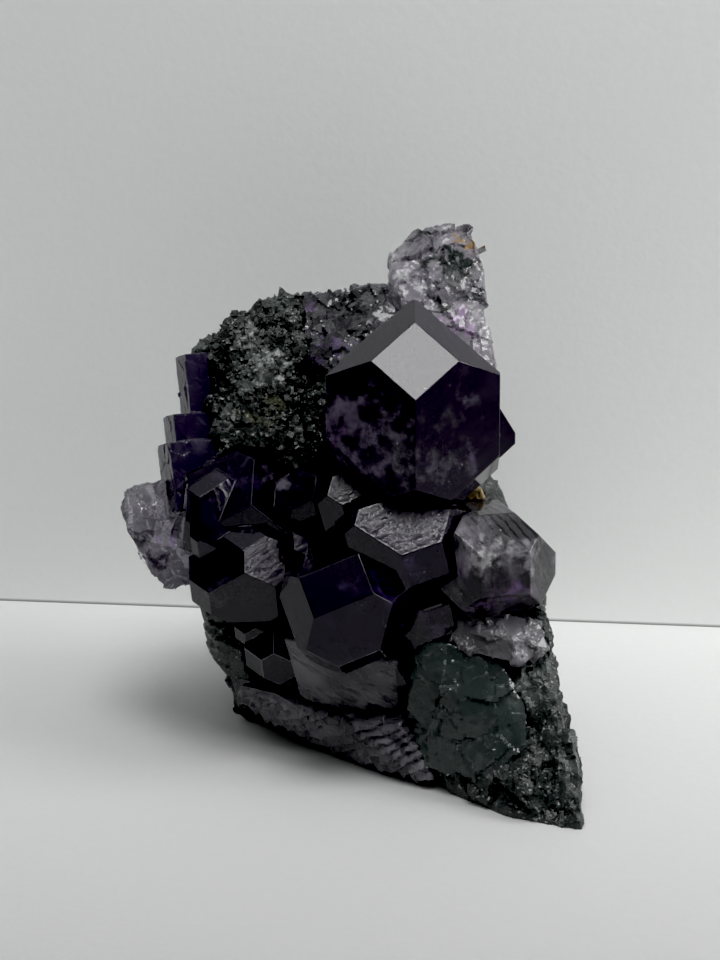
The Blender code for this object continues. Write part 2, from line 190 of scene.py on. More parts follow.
def relief(host, index, name, cell, height):
    """A finely divided copy of the host's faces of one material, carved by a height, sunk at its border."""
    shape = bmesh.new()
    shape.from_mesh(host.data)
    others = [face for face in shape.faces if face.material_index != index]
    bmesh.ops.delete(shape, geom=others, context="FACES")
    bmesh.ops.triangulate(shape, faces=shape.faces)
    for _ in range(9):
        long = [edge for edge in shape.edges if edge.calc_length() > cell]
        if not long:
            break
        bmesh.ops.subdivide_edges(shape, edges=long, cuts=1, use_grid_fill=True)
        bmesh.ops.triangulate(shape, faces=shape.faces)
    shape.normal_update()
    rim = [corner for corner in shape.verts if corner.is_boundary]
    tree = kdtree.KDTree(len(rim))
    for count, corner in enumerate(rim):
        tree.insert(corner.co, count)
    tree.balance()
    moved = []
    for corner in shape.verts:
        fade = min(1.0, tree.find(corner.co)[2] / RELIEF_RIM)
        lift = fade * height(corner.co) - RELIEF_SINK * (1.0 - fade)
        moved.append((corner, corner.co + corner.normal * lift))
    for corner, place in moved:
        corner.co = place
    mesh = bpy.data.meshes.new(name)
    shape.to_mesh(mesh)
    shape.free()
    piece = bpy.data.objects.new(name, mesh)
    bpy.context.scene.collection.objects.link(piece)
    for face in mesh.polygons:
        face.material_index = 0
    only(piece)
    bpy.ops.object.shade_smooth_by_angle(angle=math.radians(40.0))
    return piece


def inside(box, point):
    return all(low < value < high for low, value, high in zip(box[0], point, box[1]))


def keep_within(piece, cad_node):
    """Hold every point inside the box of the CAD solid."""
    low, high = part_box(cad_node)
    for corner in piece.data.vertices:
        for axis in range(3):
            corner.co[axis] = min(max(corner.co[axis], low[axis]), high[axis])


# Shader parts

def group(name, inputs, outputs):
    made = bpy.data.node_groups.new(name, "ShaderNodeTree")
    for label, kind, value in inputs:
        socket = made.interface.new_socket(name=label, in_out="INPUT", socket_type=kind)
        if value is not None:
            socket.default_value = value
    for label, kind in outputs:
        made.interface.new_socket(name=label, in_out="OUTPUT", socket_type=kind)
    return made, made.nodes.new("NodeGroupInput"), made.nodes.new("NodeGroupOutput")


def node(tree, kind, inputs=None, **values):
    """Add a node; inputs gives each socket either a value or the output that feeds it."""
    made = tree.nodes.new("ShaderNode" + kind)
    for name, value in values.items():
        setattr(made, name, value)
    for name, value in (inputs or {}).items():
        socket = made.inputs[name]
        if isinstance(value, bpy.types.NodeSocket):
            tree.links.new(value, socket)
        else:
            socket.default_value = value
    return made


def wandered(tree, vector, scale, reach, **values):
    """The vector moved about by a cloudy noise of a scale, up to a reach in metres."""
    warp = node(tree, "TexNoise", {"Vector": vector, "Scale": scale, **values})
    shift = node(tree, "VectorMath", {0: warp.outputs["Color"], 1: (0.5, 0.5, 0.5)}, operation="SUBTRACT")
    scaled = node(tree, "VectorMath", {0: shift.outputs[0], "Scale": reach}, operation="SCALE")
    return node(tree, "VectorMath", {0: vector, 1: scaled.outputs[0]}, operation="ADD").outputs[0]


def wrinkles_group():
    """Crinkled etch relief: ridges that branch and run along the X of the vector it is given."""
    made, given, result = group("wrinkles", [
        ("Vector", "NodeSocketVector", None), ("Scale", "NodeSocketFloat", 500.0),
        ("Stretch", "NodeSocketFloat", 0.35)], [("Height", "NodeSocketFloat"), ("Mask", "NodeSocketFloat")])
    stretch = node(made, "CombineXYZ", {"X": given.outputs["Stretch"], "Y": 1.0, "Z": 1.0})
    along = node(made, "VectorMath", {0: given.outputs["Vector"], 1: stretch.outputs[0]},
                 operation="MULTIPLY").outputs[0]
    moved = wandered(made, along, 260.0, 2.2 * MM, Detail=2.0)
    crests = node(made, "TexNoise", {
        "Vector": moved, "Scale": given.outputs["Scale"], "Detail": 4.0, "Roughness": 0.55,
        "Lacunarity": 2.2, "Offset": 0.9, "Gain": 1.6}, noise_type="RIDGED_MULTIFRACTAL", normalize=True)
    mask = node(made, "MapRange", {"Value": crests.outputs["Fac"], "From Min": 0.35, "From Max": 0.75})
    made.links.new(crests.outputs["Fac"], result.inputs["Height"])
    made.links.new(mask.outputs[0], result.inputs["Mask"])
    return made


def chips_group():
    """Shell-shaped chips of a broken glassy surface: curved cells with sharp steps between them."""
    made, given, result = group("chips", [
        ("Vector", "NodeSocketVector", None), ("Scale", "NodeSocketFloat", 500.0)],
        [("Height", "NodeSocketFloat")])
    scale = given.outputs["Scale"]
    moved = wandered(made, given.outputs["Vector"], scale, 1.4 * MM, Detail=2.0)
    cells = node(made, "TexVoronoi", {"Vector": moved, "Scale": scale})
    tone = node(made, "SeparateColor", {0: cells.outputs["Color"]})
    height = node(made, "Math", {0: tone.outputs[0], 1: 0.5, 2: cells.outputs["Distance"]},
                  operation="MULTIPLY_ADD")
    made.links.new(height.outputs[0], result.inputs["Height"])
    return made


def lines_group():
    """Growth lines: fine parallel ripples, wavering a little, along the X of the vector it is given."""
    made, given, result = group("growth_lines", [
        ("Vector", "NodeSocketVector", None), ("Scale", "NodeSocketFloat", 400.0),
        ("Waver", "NodeSocketFloat", 2.0)], [("Height", "NodeSocketFloat")])
    wave = node(made, "TexWave", {"Vector": given.outputs["Vector"], "Scale": given.outputs["Scale"],
                                  "Distortion": given.outputs["Waver"], "Detail": 3.0, "Detail Scale": 1.2,
                                  "Detail Roughness": 0.6}, wave_profile="SIN")
    made.links.new(wave.outputs["Fac"], result.inputs["Height"])
    return made


def veils_group():
    """Clouds and healed cracks inside a crystal, as a mask from 0 to 1."""
    made, given, result = group("veils", [
        ("Vector", "NodeSocketVector", None), ("Scale", "NodeSocketFloat", 120.0),
        ("Amount", "NodeSocketFloat", 0.5)], [("Mask", "NodeSocketFloat")])
    cloud = node(made, "TexNoise", {
        "Vector": given.outputs["Vector"], "Scale": given.outputs["Scale"], "Detail": 6.0,
        "Roughness": 0.62, "Distortion": 0.6})
    low = node(made, "Math", {0: 0.78, 1: given.outputs["Amount"]}, operation="SUBTRACT")
    low_edge = node(made, "Math", {0: low.outputs[0], 1: 0.12}, operation="ADD")
    mask = node(made, "MapRange", {
        "Value": cloud.outputs["Fac"], "From Min": low_edge.outputs[0], "From Max": 0.86},
        interpolation_type="SMOOTHSTEP")
    made.links.new(mask.outputs[0], result.inputs["Mask"])
    return made


def patch_group():
    """A patch around one place with a cloudy outline, crisp or soft."""
    made, given, result = group("patch", [
        ("Vector", "NodeSocketVector", None), ("Centre", "NodeSocketVector", None),
        ("Radius", "NodeSocketFloat", 0.003), ("Softness", "NodeSocketFloat", 0.6)],
        [("Mask", "NodeSocketFloat")])
    spread = node(made, "Math", {0: given.outputs["Radius"], 1: 5.5}, operation="MULTIPLY").outputs[0]
    moved = wandered(made, given.outputs["Vector"], 330.0, spread, Detail=5.0, Roughness=0.6)
    away = node(made, "VectorMath", {0: moved, 1: given.outputs["Centre"]}, operation="DISTANCE")
    near = node(made, "MapRange", {"Value": away.outputs["Value"], "From Min": given.outputs["Radius"],
                                   "From Max": 0.0})
    cloud = node(made, "TexNoise", {"Vector": given.outputs["Vector"], "Scale": 420.0, "Detail": 8.0,
                                    "Roughness": 0.72, "Distortion": 0.8})
    ragged = node(made, "Math", {0: cloud.outputs["Fac"], 1: 1.8, 2: near.outputs[0]},
                  operation="MULTIPLY_ADD")
    empty = node(made, "Math", {0: 1.25, 1: given.outputs["Softness"]}, operation="SUBTRACT")
    full = node(made, "Math", {0: 1.25, 1: given.outputs["Softness"]}, operation="ADD")
    within = node(made, "MapRange", {"Value": away.outputs["Value"], "From Min": given.outputs["Radius"],
                                     "From Max": 0.0, "To Max": 1.6})
    mask = node(made, "MapRange", {"Value": ragged.outputs[0], "From Min": empty.outputs[0],
                                   "From Max": full.outputs[0]}, interpolation_type="SMOOTHSTEP")
    held = node(made, "Math", {0: mask.outputs[0], 1: within.outputs[0]}, operation="MULTIPLY",
                use_clamp=True)
    made.links.new(held.outputs[0], result.inputs["Mask"])
    return made


def dust_group():
    """Scattered specks of dust and tiny chips, as a mask from 0 to 1."""
    made, given, result = group("dust", [
        ("Vector", "NodeSocketVector", None), ("Scale", "NodeSocketFloat", 620.0)],
        [("Mask", "NodeSocketFloat")])
    cells = node(made, "TexVoronoi", {"Vector": given.outputs["Vector"], "Scale": given.outputs["Scale"]})
    dot = node(made, "MapRange", {"Value": cells.outputs["Distance"], "From Min": 0.10, "From Max": 0.05})
    tone = node(made, "SeparateColor", {0: cells.outputs["Color"]})
    few = node(made, "Math", {0: tone.outputs[0], 1: 0.86}, operation="GREATER_THAN")
    mask = node(made, "Math", {0: dot.outputs[0], 1: few.outputs[0]}, operation="MULTIPLY")
    made.links.new(mask.outputs[0], result.inputs["Mask"])
    return made


WRINKLES = wrinkles_group()
DUST = dust_group()
DUST_COLOUR = (0.85, 0.85, 0.88, 1.0)
CHIPS = chips_group()
LINES = lines_group()
VEILS = veils_group()
PATCH = patch_group()


def place_group(tree, which, inputs):
    made = node(tree, "Group", node_tree=which)
    for name, value in inputs.items():
        if isinstance(value, bpy.types.NodeSocket):
            tree.links.new(value, made.inputs[name])
        else:
            made.inputs[name].default_value = value
    return made


def new_material(name):
    made = bpy.data.materials.new(name)
    made.use_nodes = True
    tree = made.node_tree
    shader = tree.nodes["Principled BSDF"]
    where = tree.nodes.new("ShaderNodeTexCoord").outputs["Object"]
    return made, tree, shader, where


def mix_colour(tree, factor, first, second):
    made = node(tree, "Mix", {0: factor, 6: first, 7: second}, data_type="RGBA")
    return made.outputs[2]


def toned(tree, where, colour, tones, softness=0.62):
    """Lay patches over a colour, each given by its place on the display face, radius and tone."""
    for place, radius, tone in tones:
        patch = place_group(tree, PATCH, {"Vector": where, "Centre": on_face(*place), "Radius": radius * MM,
                                          "Softness": softness})
        colour = mix_colour(tree, patch.outputs[0], colour, (*tone, 1.0))
    return colour


def turned(tree, where, direction):
    """The Object vector turned so that its X runs along a direction."""
    turn = Vector((1.0, 0.0, 0.0)).rotation_difference(Vector(direction)).inverted().to_euler()
    return node(tree, "Mapping", {"Vector": where, "Rotation": turn}).outputs[0]


def bump(tree, shader, height, strength, depth):
    made = node(tree, "Bump", {"Height": height, "Strength": strength, "Distance": depth})
    tree.links.new(made.outputs["Normal"], shader.inputs["Normal"])


def absorb(tree, colour, density):
    output = tree.nodes["Material Output"]
    volume = node(tree, "VolumeAbsorption", {"Color": (*colour, 1.0), "Density": density})
    tree.links.new(volume.outputs[0], output.inputs["Volume"])


def clear_body(shader, transmission, roughness=None):
    shader.inputs["IOR"].default_value = FLUORITE_IOR
    shader.inputs["Transmission Weight"].default_value = transmission
    if roughness is not None:
        shader.inputs["Roughness"].default_value = roughness


def growth_face_material(name, deep, cloud, transmission, density, tint, line_way, line_depth,
                         veil_scale=150.0, veil_amount=0.3, tones=(), gloss=(0.01, 0.07)):
    """Glossy growth faces over a coloured, see-through body with clouds in it."""
    made, tree, shader, where = new_material(name)
    veils = place_group(tree, VEILS, {"Vector": where, "Scale": veil_scale, "Amount": veil_amount})
    colour = mix_colour(tree, veils.outputs[0], (*deep, 1.0), (*cloud, 1.0))
    dust = place_group(tree, DUST, {"Vector": where})
    # The tones lay patches over the colour; on the crown they paint its glow and on the smoky crystal its
    # edge glints
    colour = mix_colour(tree, dust.outputs[0], toned(tree, where, colour, tones), DUST_COLOUR)
    tree.links.new(colour, shader.inputs["Base Color"])
    clear_body(shader, transmission)
    fine = node(tree, "TexNoise", {"Vector": where, "Scale": 900.0, "Detail": 3.0})
    polish = node(tree, "MapRange", {"Value": fine.outputs["Fac"], "From Min": 0.3, "From Max": 0.7,
                                     "To Min": gloss[0], "To Max": gloss[1]})
    tree.links.new(polish.outputs[0], shader.inputs["Roughness"])
    lines = place_group(tree, LINES, {"Vector": turned(tree, where, line_way), "Scale": 300.0, "Waver": 4.0})
    swell = node(tree, "TexNoise", {"Vector": where, "Scale": 210.0, "Detail": 4.0, "Roughness": 0.5})
    height = node(tree, "Math", {0: lines.outputs[0], 1: 0.25, 2: swell.outputs["Fac"]},
                  operation="MULTIPLY_ADD")
    bump(tree, shader, height.outputs[0], 0.4, line_depth)
    absorb(tree, tint, density)
    return made


def etched_face_material(name, way, scale, stretch, depth):
    """An etched face: black purple glass whose crinkled surface scatters the light like foil."""
    made, tree, shader, where = new_material(name)
    along = turned(tree, where, way)
    marks = place_group(tree, WRINKLES, {"Vector": along, "Scale": scale, "Stretch": stretch})
    colour = mix_colour(tree, marks.outputs["Mask"], (0.030, 0.025, 0.040, 1.0), (0.085, 0.080, 0.095, 1.0))
    tree.links.new(colour, shader.inputs["Base Color"])
    clear_body(shader, 0.2)
    gloss = node(tree, "MapRange", {"Value": marks.outputs["Mask"], "To Min": 0.13, "To Max": 0.24})
    tree.links.new(gloss.outputs[0], shader.inputs["Roughness"])
    bump(tree, shader, marks.outputs["Height"], 1.0, depth)
    return made


def broken_material(name, body, veil, dark, transmission, density, tint, dark_amount=0.34, tones=()):
    """Broken, cloudy fluorite: glassy chips, milky veils, dark inclusions and sometimes patches: stained
    spots, and on the peak white patches of painted reflection.
    """
    made, tree, shader, where = new_material(name)
    veils = place_group(tree, VEILS, {"Vector": where, "Scale": 150.0, "Amount": 0.46})
    colour = mix_colour(tree, veils.outputs[0], (*body, 1.0), (*veil, 1.0))
    patches = place_group(tree, VEILS, {"Vector": where, "Scale": 115.0, "Amount": dark_amount})
    colour = mix_colour(tree, patches.outputs[0], colour, (*dark, 1.0))
    tree.links.new(toned(tree, where, colour, tones, 0.14), shader.inputs["Base Color"])
    clear_body(shader, transmission)
    fine = node(tree, "TexNoise", {"Vector": where, "Scale": 700.0, "Detail": 4.0})
    gloss = node(tree, "MapRange", {"Value": fine.outputs["Fac"], "From Min": 0.35, "From Max": 0.7,
                                    "To Min": 0.02, "To Max": 0.22})
    tree.links.new(gloss.outputs[0], shader.inputs["Roughness"])
    chips = place_group(tree, CHIPS, {"Vector": where, "Scale": 620.0})
    bump(tree, shader, chips.outputs["Height"], 0.30, 0.14 * MM)
    absorb(tree, tint, density)
    return made


def grained_material(name, dark, light, way, stretch, depth, transmission):
    """Fluorite slab with fine wavy striations like wood grain."""
    made, tree, shader, where = new_material(name)
    along = turned(tree, where, way)
    grain = place_group(tree, WRINKLES, {"Vector": along, "Scale": 700.0, "Stretch": stretch})
    broad = node(tree, "TexNoise", {"Vector": where, "Scale": 160.0, "Detail": 4.0})
    tone = node(tree, "MapRange", {"Value": broad.outputs["Fac"], "From Min": 0.35, "From Max": 0.7})
    colour = mix_colour(tree, tone.outputs[0], (*dark, 1.0), (*light, 1.0))
    colour = mix_colour(tree, grain.outputs["Mask"], (*dark, 1.0), colour)
    tree.links.new(colour, shader.inputs["Base Color"])
    clear_body(shader, transmission)
    gloss = node(tree, "MapRange", {"Value": grain.outputs["Mask"], "To Min": 0.14, "To Max": 0.34})
    tree.links.new(gloss.outputs[0], shader.inputs["Roughness"])
    bump(tree, shader, grain.outputs["Height"], 0.9, depth)
    return made


def rock_material(name, dark, middle_tone, light, painted_glint, places=()):
    """Dark rock, black-green to grey, with glassy flakes whose glints are painted pale into its colour."""
    made, tree, shader, where = new_material(name)
    broad = node(tree, "TexNoise", {"Vector": where, "Scale": 170.0, "Detail": 9.0, "Roughness": 0.68,
                                    "Distortion": 0.4})
    tones = node(tree, "ValToRGB", {"Fac": broad.outputs["Fac"]})
    ramp = tones.color_ramp
    ramp.elements[0].position, ramp.elements[0].color = 0.40, (*dark, 1.0)
    ramp.elements[1].position, ramp.elements[1].color = 0.70, (*light, 1.0)
    middle = ramp.elements.new(0.54)
    middle.color = (*middle_tone, 1.0)
    # On the shoulder the places paint its hollows near-black as painted shade, and lay its pale grains and
    # olive patch
    colour = toned(tree, where, tones.outputs["Color"], places, 0.3)
    # Painted glints: pale flakes mixed into the colour where the fine noise is high
    flakes = node(tree, "TexNoise", {"Vector": where, "Scale": 1500.0, "Detail": 2.0})
    pale = node(tree, "MapRange", {"Value": flakes.outputs["Fac"], "From Min": 0.66, "From Max": 0.72})
    colour = mix_colour(tree, pale.outputs[0], colour, (*painted_glint, 1.0))
    tree.links.new(colour, shader.inputs["Base Color"])
    gloss = node(tree, "MapRange", {"Value": flakes.outputs["Fac"], "From Min": 0.35, "From Max": 0.65,
                                    "To Min": 0.16, "To Max": 0.55})
    tree.links.new(gloss.outputs[0], shader.inputs["Roughness"])
    chips = place_group(tree, CHIPS, {"Vector": where, "Scale": 1300.0})
    height = node(tree, "Math", {0: broad.outputs["Fac"], 1: 1.5, 2: chips.outputs["Height"]},
                  operation="MULTIPLY_ADD")
    bump(tree, shader, height.outputs[0], 1.0, 0.14 * MM)
    return made


def rust_material():
    made, tree, shader, where = new_material("rust_yellow")
    spots = node(tree, "TexNoise", {"Vector": where, "Scale": 1300.0, "Detail": 5.0})
    colour = mix_colour(tree, spots.outputs["Fac"], (0.16, 0.09, 0.03, 1.0), (0.62, 0.50, 0.25, 1.0))
    tree.links.new(colour, shader.inputs["Base Color"])
    shader.inputs["Roughness"].default_value = 0.6
    bump(tree, shader, spots.outputs["Fac"], 0.8, 0.15 * MM)
    return made


DARK_TINT = (0.32, 0.07, 0.46)
# Soft patches, each with its place on the display face, its radius in millimetres and its colour
# On the crown the patches are painted glow: lilac and grey where light shows through the crystal
CROWN_PAINTED_GLOWS = [
    ((-1.6, 4.4, 0.1), 7.5, (0.34, 0.28, 0.42)), ((10.5, 3.5, 2.4), 5.5, (0.13, 0.12, 0.15)),
    ((-3.6, 8.6, 0.2), 2.8, (0.42, 0.34, 0.52)), ((-2.7, 5.2, 0.1), 2.2, (0.32, 0.22, 0.44)),
    ((3.6, 5.6, 4.0), 2.8, (0.34, 0.30, 0.40)), ((4.6, 2.2, 4.0), 2.6, (0.36, 0.33, 0.41)),
    ((9.9, 1.2, 3.0), 2.8, (0.22, 0.20, 0.25)), ((12.6, 9.4, 2.2), 2.4, (0.24, 0.21, 0.30)),
    ((13.9, 3.0, 1.2), 2.4, (0.20, 0.16, 0.26))]
CLUSTER_TONES = [
    ((-9.3, -0.6, -9.5), 1.9, (0.46, 0.42, 0.54)), ((-12.3, 1.3, -11.0), 1.9, (0.24, 0.21, 0.27)),
    ((-14.9, 0.6, -10.0), 3.6, (0.09, 0.07, 0.15)), ((4.4, -11.9, 0.4), 4.2, (0.10, 0.07, 0.19)),
    ((9.0, -17.5, -5.0), 4.6, (0.16, 0.11, 0.24)), ((-17.9, -14.0, -7.2), 3.8, (0.12, 0.11, 0.15)),
    ((-22.0, -3.0, -12.0), 3.8, (0.08, 0.06, 0.14))]
# Patches on the smoky crystal: the two pale ones near its edges are painted glints, the purple and dark ones
# tint its body
SMOKY_TONES_AND_PAINTED_GLINTS = [
    ((15.6, -8.6, 0.4), 3.4, (0.92, 0.90, 0.95)), ((21.3, -10.0, -0.4), 3.4, (0.62, 0.60, 0.66)),
    ((18.9, -15.1, -1.9), 3.4, (0.34, 0.22, 0.46)), ((13.4, -12.4, -0.8), 2.8, (0.03, 0.02, 0.06))]
# Patches on the peak: the white ones are painted reflections, the near-black ones inclusions, the purple and
# orange ones stains
PEAK_TONES_AND_PAINTED_REFLECTIONS = [
    ((5.2, 26.4, -14.4), 3.0, (0.97, 0.97, 1.0)), ((8.6, 30.0, -16.6), 3.6, (0.014, 0.022, 0.018)),
    ((11.4, 28.6, -16.0), 3.2, (0.020, 0.030, 0.025)), ((14.0, 26.2, -15.5), 3.0, (0.030, 0.034, 0.036)),
    ((9.1, 23.9, -13.3), 3.4, (0.016, 0.022, 0.020)), ((13.1, 20.9, -13.6), 3.6, (0.60, 0.44, 0.68)),
    ((15.3, 31.1, -17.2), 2.4, (0.46, 0.27, 0.10)), ((11.9, 33.2, -17.9), 1.8, (0.95, 0.94, 0.97))]
RIDGE_TONES = [
    ((-3.9, 17.2, -13.0), 3.6, (0.24, 0.18, 0.34)), ((4.4, 20.4, -13.0), 3.0, (0.62, 0.60, 0.68)),
    ((-0.7, 23.0, -15.3), 2.8, (0.010, 0.014, 0.013)), ((2.6, 24.6, -16.4), 2.2, (0.24, 0.26, 0.26)),
    ((-6.6, 22.4, -16.8), 1.6, (0.48, 0.36, 0.60))]
LEFT_TONES = [
    ((-28.2, -4.2, -15.1), 1.6, (0.95, 0.80, 0.92)), ((-24.5, -6.5, -13.4), 2.4, (0.46, 0.36, 0.60)),
    ((-27.0, -10.4, -13.7), 2.0, (0.06, 0.05, 0.08))]
# Painted shade of the shoulder's hollows (near-black patches), sugary pale grains and an olive patch
SHOULDER_TONES_AND_PAINTED_SHADE = [
    ((-7.2, 12.5, -13.5), 4.6, (0.002, 0.002, 0.002)), ((-12.2, 14.1, -14.4), 2.8, (0.32, 0.34, 0.33)),
    ((-12.8, 8.5, -13.2), 3.4, (0.085, 0.090, 0.060)), ((-19.1, 13.2, -16.8), 4.0, (0.006, 0.007, 0.007)),
    ((-14.5, 18.5, -16.3), 3.0, (0.20, 0.21, 0.20)), ((-6.5, 5.2, -11.3), 4.0, (0.003, 0.003, 0.003))]
MATERIALS = {
    "crown": growth_face_material(
        "dark_purple_fluorite", (0.036, 0.026, 0.052), (0.13, 0.10, 0.17), 0.72, 70.0, DARK_TINT,
        crystal_axis(CROWN_TURN, (1, 0, 0)), 0.020 * MM, veil_amount=0.36, tones=CROWN_PAINTED_GLOWS),
    "cluster": growth_face_material(
        "purple_fluorite", (0.020, 0.012, 0.040), (0.080, 0.060, 0.120), 0.76, 80.0, DARK_TINT,
        crystal_axis(LOWER_TURN, (1, 0, 0)), 0.018 * MM, veil_amount=0.30, tones=CLUSTER_TONES),
    "etched": etched_face_material(
        "etched_fluorite", crystal_axis(CENTRE_TURN, (1, 0.4, 0)), 900.0, 0.55, 0.05 * MM),
    "etched_left": etched_face_material("etched_left", DASH_WAY, 1100.0, 0.35, 0.05 * MM),
    "smoky": growth_face_material(
        "smoky_fluorite", (0.050, 0.046, 0.058), (0.58, 0.56, 0.62), 0.72, 34.0, (0.4, 0.3, 0.45),
        crystal_axis(SMOKY_TURN, (1, 0, 0)), 0.16 * MM, veil_scale=210.0, veil_amount=0.46,
        tones=SMOKY_TONES_AND_PAINTED_GLINTS),
    "sugary": broken_material(
        "sugary_fluorite", (0.16, 0.155, 0.17), (0.52, 0.51, 0.55), (0.030, 0.030, 0.034), 0.45, 60.0,
        (0.5, 0.45, 0.55), dark_amount=0.42),
    "green": broken_material(
        "green_grey_fluorite", (0.048, 0.060, 0.058), (0.125, 0.150, 0.142), (0.014, 0.018, 0.018), 0.35,
        160.0, (0.2, 0.3, 0.25), dark_amount=0.36),
    "indigo": growth_face_material(
        "indigo_fluorite", (0.030, 0.024, 0.050), (0.150, 0.130, 0.200), 0.30, 240.0, (0.35, 0.2, 0.55),
        Vector((1.0, 0.0, 0.0)), 0.03 * MM, veil_scale=260.0, veil_amount=0.44, gloss=(0.08, 0.22)),
    "pale": broken_material(
        "pale_fluorite", (0.36, 0.35, 0.39), (0.72, 0.70, 0.76), (0.10, 0.09, 0.12), 0.74, 26.0,
        (0.6, 0.5, 0.65), dark_amount=0.30, tones=LEFT_TONES),
    "clear": broken_material(
        "clear_fluorite", (0.40, 0.38, 0.43), (0.97, 0.97, 0.98), (0.022, 0.028, 0.026), 0.62, 16.0,
        (0.6, 0.45, 0.7), dark_amount=0.47, tones=PEAK_TONES_AND_PAINTED_REFLECTIONS),
    "ridge": broken_material(
        "ridge_fluorite", (0.13, 0.13, 0.145), (0.40, 0.39, 0.43), (0.012, 0.015, 0.015), 0.62, 60.0,
        (0.5, 0.45, 0.55), dark_amount=0.46, tones=RIDGE_TONES),
    "slab": grained_material(
        "grained_fluorite", (0.070, 0.066, 0.078), (0.24, 0.235, 0.26), GRAIN_WAY, 0.12, 0.05 * MM, 0.30),
    "ledge": grained_material(
        "ledge_fluorite", (0.080, 0.076, 0.092), (0.30, 0.295, 0.33), GRAIN_WAY, 0.25, 0.06 * MM, 0.40),
    "rock": rock_material("dark_rock", (0.008, 0.010, 0.010), (0.028, 0.035, 0.033), (0.14, 0.16, 0.15),
                          (0.32, 0.34, 0.32), SHOULDER_TONES_AND_PAINTED_SHADE),
    "druse": rock_material("druse_quartz", (0.008, 0.010, 0.010), (0.040, 0.046, 0.044), (0.22, 0.24, 0.23),
                           (0.50, 0.51, 0.50), SHOULDER_TONES_AND_PAINTED_SHADE),
    "rust": rust_material(),
}


def finish(piece, materials, cad_node):
    for kind in materials:
        piece.data.materials.append(MATERIALS[kind])
    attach(piece, ROOT)
    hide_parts(cad_node)


def add_to(piece, material):
    """Finish a piece that lies on a dressed solid and replaces none."""
    piece.data.materials.append(material)
    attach(piece, ROOT)


# Pieces

# The cluster's finishes in the order of its material slots
CLUSTER_FINISHES = ["cluster", "etched", "etched_left", "slab", "ledge"]
ETCHED, ETCHED_LEFT, SLAB, LEDGE = 1, 2, 3, 4

# Crystal's turn, face, crystal's centre, distance of the face from it and finish
ETCHED_FACES = [
    (CENTRE_TURN, (0, 1, 1), (6.2, -8.2, -6.3), 7.6, ETCHED),
    (CENTRE_TURN, (0, 1, 1), (-0.9, -2.4, -8.0), 6.2, ETCHED),
    (LEFT_TURN, (1, 0, 1), (-14.5, -11.0, -10.2), 6.0, ETCHED_LEFT),
]
CRYSTAL_FACES = [
    crystal_axis(turn, direction)
    for turn in (CENTRE_TURN, LOWER_TURN, LEFT_TURN, UPPER_LEFT_TURN)
    for direction in itertools.product((-1, 0, 1), repeat=3) if 0 < sum(map(abs, direction)) < 3]
ETCHED_REACH = 7.0 * MM   # how far an etched face spreads around its middle
SMOKY_LOW = 23.2 * MM     # height where the sugary mass under the smoky crystal ends
SLAB_TOP = 19.4 * MM      # height where the slab ends
LEDGE_TOP = 8.6 * MM      # height where the ledges end
DRUSE_CRYSTALS = 1500     # small crystals on the shoulder


def mark_faces(piece):
    """Etched faces get their own finish, and so do the slab and the ledges under the crystals."""
    for face in piece.data.polygons:
        for turn, direction, centre, reach, index in ETCHED_FACES:
            way = crystal_axis(turn, direction)
            middle = on_face(*centre) + way * reach * MM
            faces_same_way = face.normal.dot(way) > math.cos(math.radians(4.0))
            if faces_same_way and (face.center - middle).length < ETCHED_REACH:
                face.material_index = index
        grown = any(face.normal.dot(way) > math.cos(math.radians(3.0)) for way in CRYSTAL_FACES)
        if not grown and face.center.z < SLAB_TOP:
            face.material_index = LEDGE if face.center.z < LEDGE_TOP else SLAB


def carve_cluster(cluster):
    """The foil-like etch relief, the grain of the slab and the wavy steps of the ledges."""
    carvings = [
        (ETCHED, "etched_faces", 0.17 * MM,
         lambda point: 0.11 * MM * ridges(point, 0.85 * MM, FOIL_WAY, 0.42, 3.0)),
        (ETCHED_LEFT, "etched_left_face", 0.16 * MM,
         lambda point: 0.10 * MM * ridges(point, 0.9 * MM, DASH_WAY, 0.35, 5.0)),
        (SLAB, "slab_grain", 0.24 * MM,
         lambda point: 0.22 * MM * ridges(point, 1.1 * MM, GRAIN_WAY, 0.12, 7.0)),
        (LEDGE, "ledge_steps", 0.24 * MM,
         lambda point: 0.85 * MM * stairs(point, 1.25 * MM, STEP_WAY, 2.0)),
    ]
    for index, name, cell, height in carvings:
        piece = relief(cluster, index, name, cell, height)
        add_to(piece, cluster.data.materials[index])


def sugary_break(point):
    """Height of the coarse, sugary break under the smoky crystal."""
    return 0.9 * fracture(point, 2.2 * MM, 21) + 0.7 * fracture(point, 0.9 * MM, 22) + 0.10 * MM


def crystals():
    crown = copy_of("crown_crystal", "crown_crystal_dressed")
    soften_edges(crown)
    finish(crown, ["crown"], "crown_crystal")
    cluster = copy_of("purple_cluster", "purple_cluster_dressed")
    soften_edges(cluster)
    finish(cluster, CLUSTER_FINISHES, "purple_cluster")
    mark_faces(cluster)
    carve_cluster(cluster)
    smoky = copy_of("smoky_crystal", "smoky_crystal_dressed")
    soften_edges(smoky, 0.16 * MM)
    finish(smoky, ["smoky", "sugary"], "smoky_crystal")
    for face in smoky.data.polygons:
        if face.center.z < SMOKY_LOW:
            face.material_index = 1
    add_to(relief(smoky, 1, "sugary_mass", 0.26 * MM, sugary_break), MATERIALS["sugary"])


def broken_piece(cad_node, name, kind, layers, voxel=BROKEN_VOXEL, swell=0.0, grain=None):
    piece = copy_of(cad_node, name)
    modify(piece, "REMESH", mode="VOXEL", voxel_size=voxel)
    break_surface(piece, layers, swell, grain)
    keep_within(piece, cad_node)
    only(piece)
    bpy.ops.object.shade_smooth_by_angle(angle=math.radians(22.0))
    finish(piece, [kind], cad_node)
    return piece


